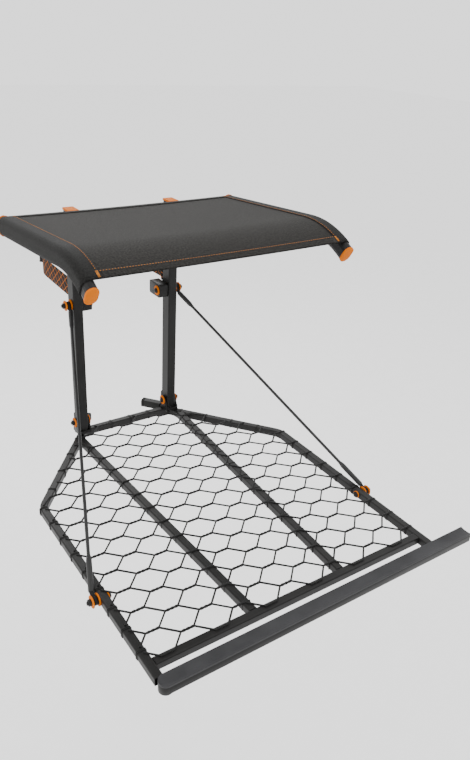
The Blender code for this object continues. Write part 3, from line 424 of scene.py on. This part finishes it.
# %% [markdown]
# Each bolt was packed as one solid with its head, washers and nut. The washers are orange
# plastic and the rest is black, so a copy gets two materials. A face belongs to a washer
# when it lies further from the bolt's axis than the nut does.

# %% Bolts with orange washers
NUT_REACH = 8.4 * MM
for name in on_both_sides("platform_bolt", "seat_bolt", "cable_bolt_upper", "cable_bolt_lower"):
    bolt = merged_copy(name, name + "_fitted")
    low, high = (Vector(corner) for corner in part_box(name))
    axis = (low + high) / 2
    bolt.data.materials.append(powder_coat)
    bolt.data.materials.append(orange)
    for face in bolt.data.polygons:
        ring = max((bolt.data.vertices[v].co - axis).yz.length for v in face.vertices)
        face.material_index = 1 if ring > NUT_REACH else 0
    smooth(apply_bevel(bolt, 0.4 * MM))
    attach(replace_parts(bolt, name), body_of(name))
print("bolts fitted with orange washers")

# %% [markdown]
# The footrest's top is a dished grip strip: its long edges stand a little higher than its
# middle. A flat grid is a good start for a thin curved top. Its rows are moved to the strip's
# outline, closer together towards the round end, and its edges are lifted. Then the whole
# top is extruded down, and the new underside is pressed flat.

# %% Footrest strip
STRIP_DIP, STRIP_EDGE = 0.6 * MM, 2.6 * MM
strip_low, strip_high = (Vector(corner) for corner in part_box("footrest_strip"))
strip_half = (strip_high.y - strip_low.y) / 2
strip_middle = (strip_high.y + strip_low.y) / 2
deselect_all()
bpy.ops.mesh.primitive_grid_add(x_subdivisions=60, y_subdivisions=14, size=1)
strip = bpy.context.object
strip.name = "footrest_grip"
for vertex in strip.data.vertices:
    reach = (strip_high.x - strip_low.x) * (vertex.co.x + 0.5) ** 2
    sideways = 2 * vertex.co.y
    from_round = max(0, strip_half - reach)
    width = max(0.4 * MM, math.sqrt(strip_half ** 2 - from_round ** 2))
    vertex.co = (strip_low.x + reach, strip_middle + sideways * width,
                 strip_high.z - STRIP_DIP + STRIP_EDGE * abs(sideways) ** 3)
bpy.ops.object.mode_set(mode="EDIT")
bpy.ops.mesh.select_all(action="SELECT")
bpy.ops.mesh.extrude_region_move(
    TRANSFORM_OT_translate={"value": (0, 0, strip_low.z - strip_high.z)})
bpy.ops.transform.resize(value=(1, 1, 0), center_override=(0, 0, strip_low.z))
bpy.ops.mesh.select_all(action="SELECT")
bpy.ops.mesh.normals_make_consistent(inside=False)
bpy.ops.object.mode_set(mode="OBJECT")
strip.data.materials.append(grip)
smooth(apply_bevel(strip, 0.6 * MM, degrees=50))
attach(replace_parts(strip, "footrest_strip"), "platform")
print("footrest strip", len(strip.data.polygons), "faces")

# %% [markdown]
# The seat is a sheet of coarse mesh cloth, stretched over two bent rails. Its edges are
# sewn into sleeves that hook round the rails. Such a sheet is easiest to think of as a
# ruled map: one direction runs along the rails, the other runs round a rail, across the
# seat and round the other rail. A function gives the place of each point on that map, so
# the sheet, its sleeves, its hem and its stitches all lie on the same surface.

# %% The seat's surface
RAIL_X, RAIL_HALF_WIDTH, RAIL_HALF_HEIGHT = 307.5, 12.5, 20.5
RAIL_REAR = Vector((-25, 615))
RAIL_SLOPE, RAIL_STRAIGHT, BEND_RADIUS = math.radians(4.5), 342, 211
SLING_BACK, SLING_FRONT = 2, RAIL_STRAIGHT + 124
SAG = 5


def rail_line(along):
    """Place and upward direction of a rail's middle line, in the plane of its bend."""
    forward = Vector((-math.cos(RAIL_SLOPE), math.sin(RAIL_SLOPE)))
    up = Vector((math.sin(RAIL_SLOPE), math.cos(RAIL_SLOPE)))
    if along <= RAIL_STRAIGHT:
        return RAIL_REAR + forward * along, up
    turn = (along - RAIL_STRAIGHT) / BEND_RADIUS
    centre = RAIL_REAR + forward * RAIL_STRAIGHT - up * BEND_RADIUS
    lean = RAIL_SLOPE - turn
    up = Vector((math.sin(lean), math.cos(lean)))
    return centre + up * BEND_RADIUS, up


EDGE_ROUND = RAIL_HALF_WIDTH + 0.4
QUARTER = EDGE_ROUND * math.pi / 2
DROP = 2 * (RAIL_HALF_HEIGHT - RAIL_HALF_WIDTH)


def across(reach, lift):
    """Sideways place and height over a rail's middle line, for a distance from the centre."""
    side = 1 if reach >= 0 else -1
    reach, radius, top = abs(reach), EDGE_ROUND + lift, RAIL_HALF_HEIGHT - RAIL_HALF_WIDTH
    if reach <= RAIL_X:
        return side * reach, top + radius
    if reach <= RAIL_X + QUARTER:
        turn = (reach - RAIL_X) / EDGE_ROUND
        return side * (RAIL_X + radius * math.sin(turn)), top + radius * math.cos(turn)
    if reach <= RAIL_X + QUARTER + DROP:
        return side * (RAIL_X + radius), top - (reach - RAIL_X - QUARTER)
    turn = (reach - RAIL_X - QUARTER - DROP) / EDGE_ROUND
    return side * (RAIL_X + radius * math.cos(turn)), top - DROP - radius * math.sin(turn)


def on_seat(reach, along, lift=0.0):
    """A point of the seat's surface, from its distances across and along the cloth."""
    x, height = across(reach, lift)
    place, up = rail_line(along)
    inside = max(0.0, 1 - (abs(reach) / RAIL_X) ** 2)
    spread = math.sin(math.pi * min(1, max(0, along / SLING_FRONT))) ** 0.5
    height -= SAG * inside * (0.35 + 0.65 * spread)
    return at(x, *(place + up * height))


EDGE = RAIL_X + QUARTER + DROP + QUARTER * 0.95
print("cloth edge at", round(EDGE, 1), "front at", SLING_FRONT)

# %% [markdown]
# The cloth itself is a grid laid on that surface. The points stand closer round the rails,
# where it bends sharply. Its map coordinates are the same two distances, in metres, which
# is why the weave keeps its size. A thin Solidify gives it an edge.

# %% Sheets on the seat
def seat_sheet(name, reaches, alongs, lift, thickness, material):
    rows, columns = len(alongs), len(reaches)
    points = [on_seat(reach, along, lift) for along in alongs for reach in reaches]
    corners = [r * columns + c for r in range(rows - 1) for c in range(columns - 1)]
    faces = [(i, i + 1, i + columns + 1, i + columns) for i in corners]
    mesh = bpy.data.meshes.new(name)
    mesh.from_pydata(points, [], faces)
    layer = mesh.uv_layers.new(name="cloth")
    for loop in mesh.loops:
        row, column = divmod(loop.vertex_index, columns)
        layer.data[loop.index].uv = (reaches[column] * MM, alongs[row] * MM)
    if mesh.polygons[len(mesh.polygons) // 2].normal.z < 0:
        mesh.flip_normals()
    mesh.materials.append(material)
    piece = in_scene(name, mesh)
    wall = piece.modifiers.new("Cloth", "SOLIDIFY")
    wall.thickness = thickness * MM
    wall.offset = 1
    choose(piece)
    bpy.ops.object.modifier_apply(modifier=wall.name)
    bpy.ops.object.shade_smooth()
    return piece


def spaced(start, end, step):
    count = max(1, round(abs(end - start) / step))
    return [start + (end - start) * i / count for i in range(count + 1)]


def round_rail(start):
    return spaced(start, RAIL_X, 6)[:-1] + spaced(RAIL_X, EDGE, 3)


FLAT, SEAM = 280, 283
FRONT_HEM, BACK_HEM = 19, 16
right_end = [-reach for reach in reversed(round_rail(FLAT))]
whole_width = right_end + spaced(-FLAT, FLAT, 10)[1:-1] + round_rail(FLAT)
lengths = spaced(SLING_BACK, SLING_FRONT, 8)
cloth = seat_sheet("seat_cloth", whole_width, lengths, 0, 0.9, sling_weave)
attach(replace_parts(cloth, "seat_sling"), "seat")
for side, sign in (("left", 1), ("right", -1)):
    reaches = [sign * reach for reach in round_rail(SEAM)]
    sleeve = seat_sheet(f"seat_sleeve_{side}", reaches, lengths, 0.9, 0.8, sleeve_weave)
    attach(sleeve, "seat")
for name, start, end in (("front", SLING_FRONT - FRONT_HEM, SLING_FRONT),
                         ("back", SLING_BACK, SLING_BACK + BACK_HEM)):
    hem = seat_sheet(f"seat_hem_{name}", spaced(-SEAM, SEAM, 10), spaced(start, end, 4), 0.9,
                     0.7, sling_weave)
    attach(hem, "seat")
print("seat cloth", len(cloth.data.polygons), "faces")

# %% [markdown]
# Orange thread holds the sleeves and the hem down. A stitch is a short cord lying on the
# cloth, so each is a stretched low ball, modelled once and copied along the seams. The
# corners carry bar tacks, where many stitches lie side by side to stop the seam from tearing.

# %% Stitches
def stitch_mesh():
    deselect_all()
    bpy.ops.mesh.primitive_uv_sphere_add(segments=6, ring_count=4, radius=0.5)
    ball = bpy.context.object
    shape = ball.data.copy()
    bpy.data.objects.remove(ball)
    return shape


STITCH = stitch_mesh()


def sew(name, runs, width, body, on_surface):
    """Stitches between pairs of surface points, joined into one piece."""
    verts, faces = [], []
    shape = np.array([vertex.co for vertex in STITCH.vertices])
    for start, end in runs:
        first, last = on_surface(*start), on_surface(*end)
        along = last - first
        turn = np.array(along.to_track_quat("X", "Z").to_matrix())
        size = np.array([along.length, width * MM, width * MM])
        base = len(verts)
        verts += [tuple(turn @ (point * size) + np.array((first + last) / 2)) for point in shape]
        faces += [[base + v for v in face.vertices] for face in STITCH.polygons]
    mesh = bpy.data.meshes.new(name)
    mesh.from_pydata(verts, [], faces)
    mesh.materials.append(thread)
    mesh.shade_smooth()
    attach(in_scene(name, mesh), body)


def on_cloth(reach, along):
    return on_seat(reach, along, 1.9)


def seam_run(start, end, pitch=6.0, gap=2.2):
    """Stitch ends along a straight line on the cloth."""
    start, end = Vector(start), Vector(end)
    way = (end - start).normalized()
    count = int((end - start).length / pitch)
    return [(tuple(start + way * pitch * i), tuple(start + way * (pitch * (i + 1) - gap)))
            for i in range(count)]


def bar_tack(reach, start, end, count=3, step=1.3):
    """Stitches side by side along a seam's end."""
    first = reach - step * (count - 1) / 2
    return [((first + i * step, start), (first + i * step, end)) for i in range(count)]


HEM_LINE, SIDE_LINE = SLING_FRONT - 17, SEAM + 4
runs = seam_run((-SIDE_LINE, HEM_LINE), (SIDE_LINE, HEM_LINE))
for line in (SIDE_LINE, -SIDE_LINE):
    runs += seam_run((line, SLING_BACK + 6), (line, HEM_LINE))
    runs += bar_tack(line, HEM_LINE - 3, SLING_FRONT - 1, 4)
    runs += bar_tack(line, SLING_BACK + 1, SLING_BACK + 9)
sew("seat_stitches", runs, 1.1, "seat", on_cloth)
print("stitches", len(runs))

# %% [markdown]
# The deck is hexagonal netting. Every wire zigzags across the platform, and where two
# neighbours meet they are twisted round each other before they part again. So one wire is
# a list of short helices joined by straight slants, and the whole deck is that list
# repeated row by row, each row half a step along from the one before.

# %% Where the deck's frame lies
TUBE_HALF = TUBE / MM / 2
HALF_WIDTH, BEND_Y, FRONT_Y, REAR_Y = 356.0, -275.0, -811.0, 7.0
SLANT_X = 131.0
LOOP_REAR_X, LOOP_FRONT_X = 158.0, 115.6
CELL_X, CELL_Y, TWIST = 60.0, 62.0, 29.0
COLUMN_X, ROW_Y, ROWS = -17.0, -778.0, range(-1, 14)
WIRE, WIRE_Z, TWIST_RADIUS = 2.2, 9.9, 1.0
TWIST_STEPS, SLANT_STEPS = 10, 8
print("deck frame", round(2 * HALF_WIDTH, 1), "wide, front at", round(FRONT_Y, 1))


def half_width(y):
    """Distance from the middle to the side tube's middle line."""
    if y <= BEND_Y:
        return HALF_WIDTH
    return HALF_WIDTH + (SLANT_X - HALF_WIDTH) * (y - BEND_Y) / (REAR_Y - BEND_Y)


def wire_points(row, upper):
    """One wire's whole zigzag, with a helix of one and a half turns in each twist."""
    points = []
    reach = int(HALF_WIDTH / CELL_X) + 2
    for column in range(-reach, reach + 1):
        odd = column % 2
        y = ROW_Y + CELL_Y * (row + (0.5 if upper else -0.5) * odd)
        x = COLUMN_X + column * CELL_X
        start = 0.5 if upper != bool(odd) else 1.5
        twist = []
        for step in range(TWIST_STEPS + 1):
            turn = math.pi * (start + 3 * step / TWIST_STEPS)
            twist.append(Vector((x + (step / TWIST_STEPS - 0.5) * TWIST,
                                 y + TWIST_RADIUS * math.sin(turn),
                                 WIRE_Z + TWIST_RADIUS * math.cos(turn))))
        if points:
            last = points[-1]
            points += [last.lerp(twist[0], step / SLANT_STEPS) for step in range(1, SLANT_STEPS)]
        points += twist
    return points


def inside_frame(point):
    return abs(point.x) < half_width(point.y) and FRONT_Y < point.y < REAR_Y


def trimmed(points):
    """The stretches of a wire inside the frame, with their ends over the tubes."""
    stretches = [[]]
    for point in points:
        if inside_frame(point):
            stretches[-1].append(point)
        elif stretches[-1]:
            stretches.append([])
    return [stretch for stretch in stretches if len(stretch) > 1]


deck_runs = []
for row in ROWS:
    for upper in (True, False):
        deck_runs += trimmed(wire_points(row, upper))
print("deck wires", len(deck_runs))

# %% [markdown]
# At the frame, each wire is bent round the tube and twisted back on itself. A few tight
# turns round the tube at each row show that. A turn is a square ring with round corners,
# a little larger than the tube, set square to it.

# %% Turns round the tubes
CORNER = 3


def ring_round(x, y, direction, turns=2, pitch=3.4):
    """Closed turns of wire round a tube that runs in a direction."""
    corner_place = TUBE_HALF + 0.4 - CORNER
    side = Vector((-direction.y, direction.x, 0))
    rings = []
    for turn in range(turns):
        middle = Vector((x, y, 0)) + direction * pitch * (turn - (turns - 1) / 2)
        ring = []
        for right, up, start in ((1, 1, 0), (-1, 1, 90), (-1, -1, 180), (1, -1, 270)):
            for angle in (math.radians(start + step) for step in (0, 45, 90)):
                across_tube = right * corner_place + CORNER * math.cos(angle)
                height = up * corner_place + CORNER * math.sin(angle)
                ring.append(middle + side * across_tube + Vector((0, 0, height)))
        rings.append(ring)
    return rings


FORWARD, SIDEWAYS = Vector((0, 1, 0)), Vector((1, 0, 0))
DEPTH = REAR_Y - FRONT_Y
rings = []
for row in ROWS:
    y = ROW_Y + CELL_Y * row
    if not FRONT_Y + 20 < y < REAR_Y - 30:
        continue
    for sign in (1, -1):
        slant = Vector((sign * (SLANT_X - HALF_WIDTH), REAR_Y - BEND_Y, 0)).normalized()
        rings += ring_round(sign * half_width(y), y, FORWARD if y < BEND_Y else slant)
        bar = Vector((sign * (LOOP_REAR_X - LOOP_FRONT_X), DEPTH, 0))
        bar_x = sign * LOOP_FRONT_X + bar.x * (y - FRONT_Y) / DEPTH
        rings += ring_round(bar_x, y, bar.normalized(), turns=1)
for column in range(-1, 2):
    rings += ring_round(COLUMN_X + CELL_X * (column + 0.5), REAR_Y, SIDEWAYS)
print("turns round the tubes", len(rings))


# %% [markdown]
# A curve object with a round bevel is the easiest way to draw wire: it only needs the
# points of its middle line. All the wires go in one curve, which is then made a mesh, so
# that the netting is one piece. The turns round the tubes are closed curves.

# %% Wires as one netting
def drawn_tube(name, runs, radius, resolution, material, closed=False, swell=None):
    """Round tubes along runs of places, as one piece; swell gives a radius along a run."""
    curve = bpy.data.curves.new(name, "CURVE")
    curve.dimensions = "3D"
    curve.fill_mode = "FULL"
    curve.bevel_depth = radius * MM
    curve.bevel_resolution = resolution
    curve.use_fill_caps = True
    for run in runs:
        spline = curve.splines.new("POLY")
        spline.points.add(len(run) - 1)
        for i, (point, place) in enumerate(zip(spline.points, run)):
            point.co = (*place, 1)
            point.radius = swell(i / (len(run) - 1)) if swell else 1
        spline.use_cyclic_u = closed
    drawn = in_scene(name, curve)
    bpy.context.view_layer.update()
    depsgraph = bpy.context.evaluated_depsgraph_get()
    mesh = bpy.data.meshes.new_from_object(drawn.evaluated_get(depsgraph))
    bpy.data.objects.remove(drawn)
    mesh.materials.clear()
    mesh.materials.append(material)
    return in_scene(name, mesh)


def wire_piece(name, runs, closed, radius, material):
    places = [[at(*point) for point in run] for run in runs]
    piece = drawn_tube(name, places, radius, 1, material, closed)
    piece.data.shade_smooth()
    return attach(piece, "platform")


netting = wire_piece("deck_netting", deck_runs, False, WIRE, wire_coat)
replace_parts(netting, "wire_deck")
tube_turns = wire_piece("deck_wire_turns", rings, True, 1.1, powder_coat)
print("netting", len(netting.data.polygons), "turns", len(tube_turns.data.polygons))

# %% [markdown]
# A cable is steel rope under a thick plastic coat, with a black sleeve over each crimped eye.
# The imported cable has the right course and eyes. A second tube, drawn as a curve with a
# radius of its own at each point, gives the coat, and swells where it runs into the sleeves.
# Cable and coat join the posts to the platform. The coat has points all along. The imported
# cable has points only near its ends, so if the platform folded, its middle would stay straight
# and come out of the coat. The two only agree at rest.

# %% Cables
rope = new_material("black_cable_coat", (0.0045, 0.0045, 0.0045), (0.010, 0.010, 0.0098),
                    0.45, 0.1, 1500, 0.6, shine=0.35)
EYE_RADIUS, EYE_HALF, SQUARE_END = 10, 5.2, 20
COAT, SLEEVE, STRETCHES = 3.8, 6.2, 110
UPPER_SLEEVE, LOWER_SLEEVE, TAPER = 0.065, 0.905, 0.012


def coat_radius(share):
    """Thick over the sleeves at both ends, and thin along the rope between them."""
    from_sleeve = min(share - UPPER_SLEEVE, LOWER_SLEEVE - share) / TAPER
    return COAT + (SLEEVE - COAT) * min(1.0, max(0.0, 1 - from_sleeve))


for side, sign in (("left", 1), ("right", -1)):
    node = f"cable_{side}"
    low, high = (Vector(corner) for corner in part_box(node))
    near, far = sorted((low.x, high.x), key=abs)
    top = Vector((near + sign * EYE_HALF * MM, high.y - EYE_RADIUS * MM, high.z - EYE_RADIUS * MM))
    bottom = Vector((far - sign * EYE_HALF * MM, low.y + EYE_RADIUS * MM, low.z + EYE_RADIUS * MM))
    square = Vector((0, bottom.y - top.y, bottom.z - top.z)).normalized() * SQUARE_END * MM
    run = [(top + square).lerp(bottom - square, i / STRETCHES) for i in range(STRETCHES + 1)]
    coat = smooth(drawn_tube(f"cable_coat_{side}", [run], 1, 2, rope, swell=coat_radius), 50)
    cable = merged_copy(node, f"cable_core_{side}", dissolve=False)
    cable.data.materials.append(rubber)
    smooth(cable, 50)
    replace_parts(cable, node)
    for piece in (cable, coat):
        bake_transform(piece)

# %% [markdown]
# The trunk strap is flat webbing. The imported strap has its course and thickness; a copy
# gets the woven finish, with a map that follows the strap's height and its length round
# the trunk. Orange threads woven across it make diamonds.

# %% Trunk strap
TRUNK_Y, TRUNK_ROUND = 187 * MM, 150 * MM
for side in SIDES:
    strap = merged_copy(f"trunk_strap_{side}", f"webbing_strap_{side}")
    strap.data.materials.append(webbing)
    layer = strap.data.uv_layers.new(name="webbing")
    for loop in strap.data.loops:
        place = strap.data.vertices[loop.vertex_index].co - ZERO
        round_trunk = math.atan2(place.y - TRUNK_Y, abs(place.x)) * TRUNK_ROUND
        layer.data[loop.index].uv = (round_trunk, place.z)
    smooth(apply_bevel(strap, 0.4 * MM))
    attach(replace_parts(strap, f"trunk_strap_{side}"), "mast")
print("straps", SIDES)
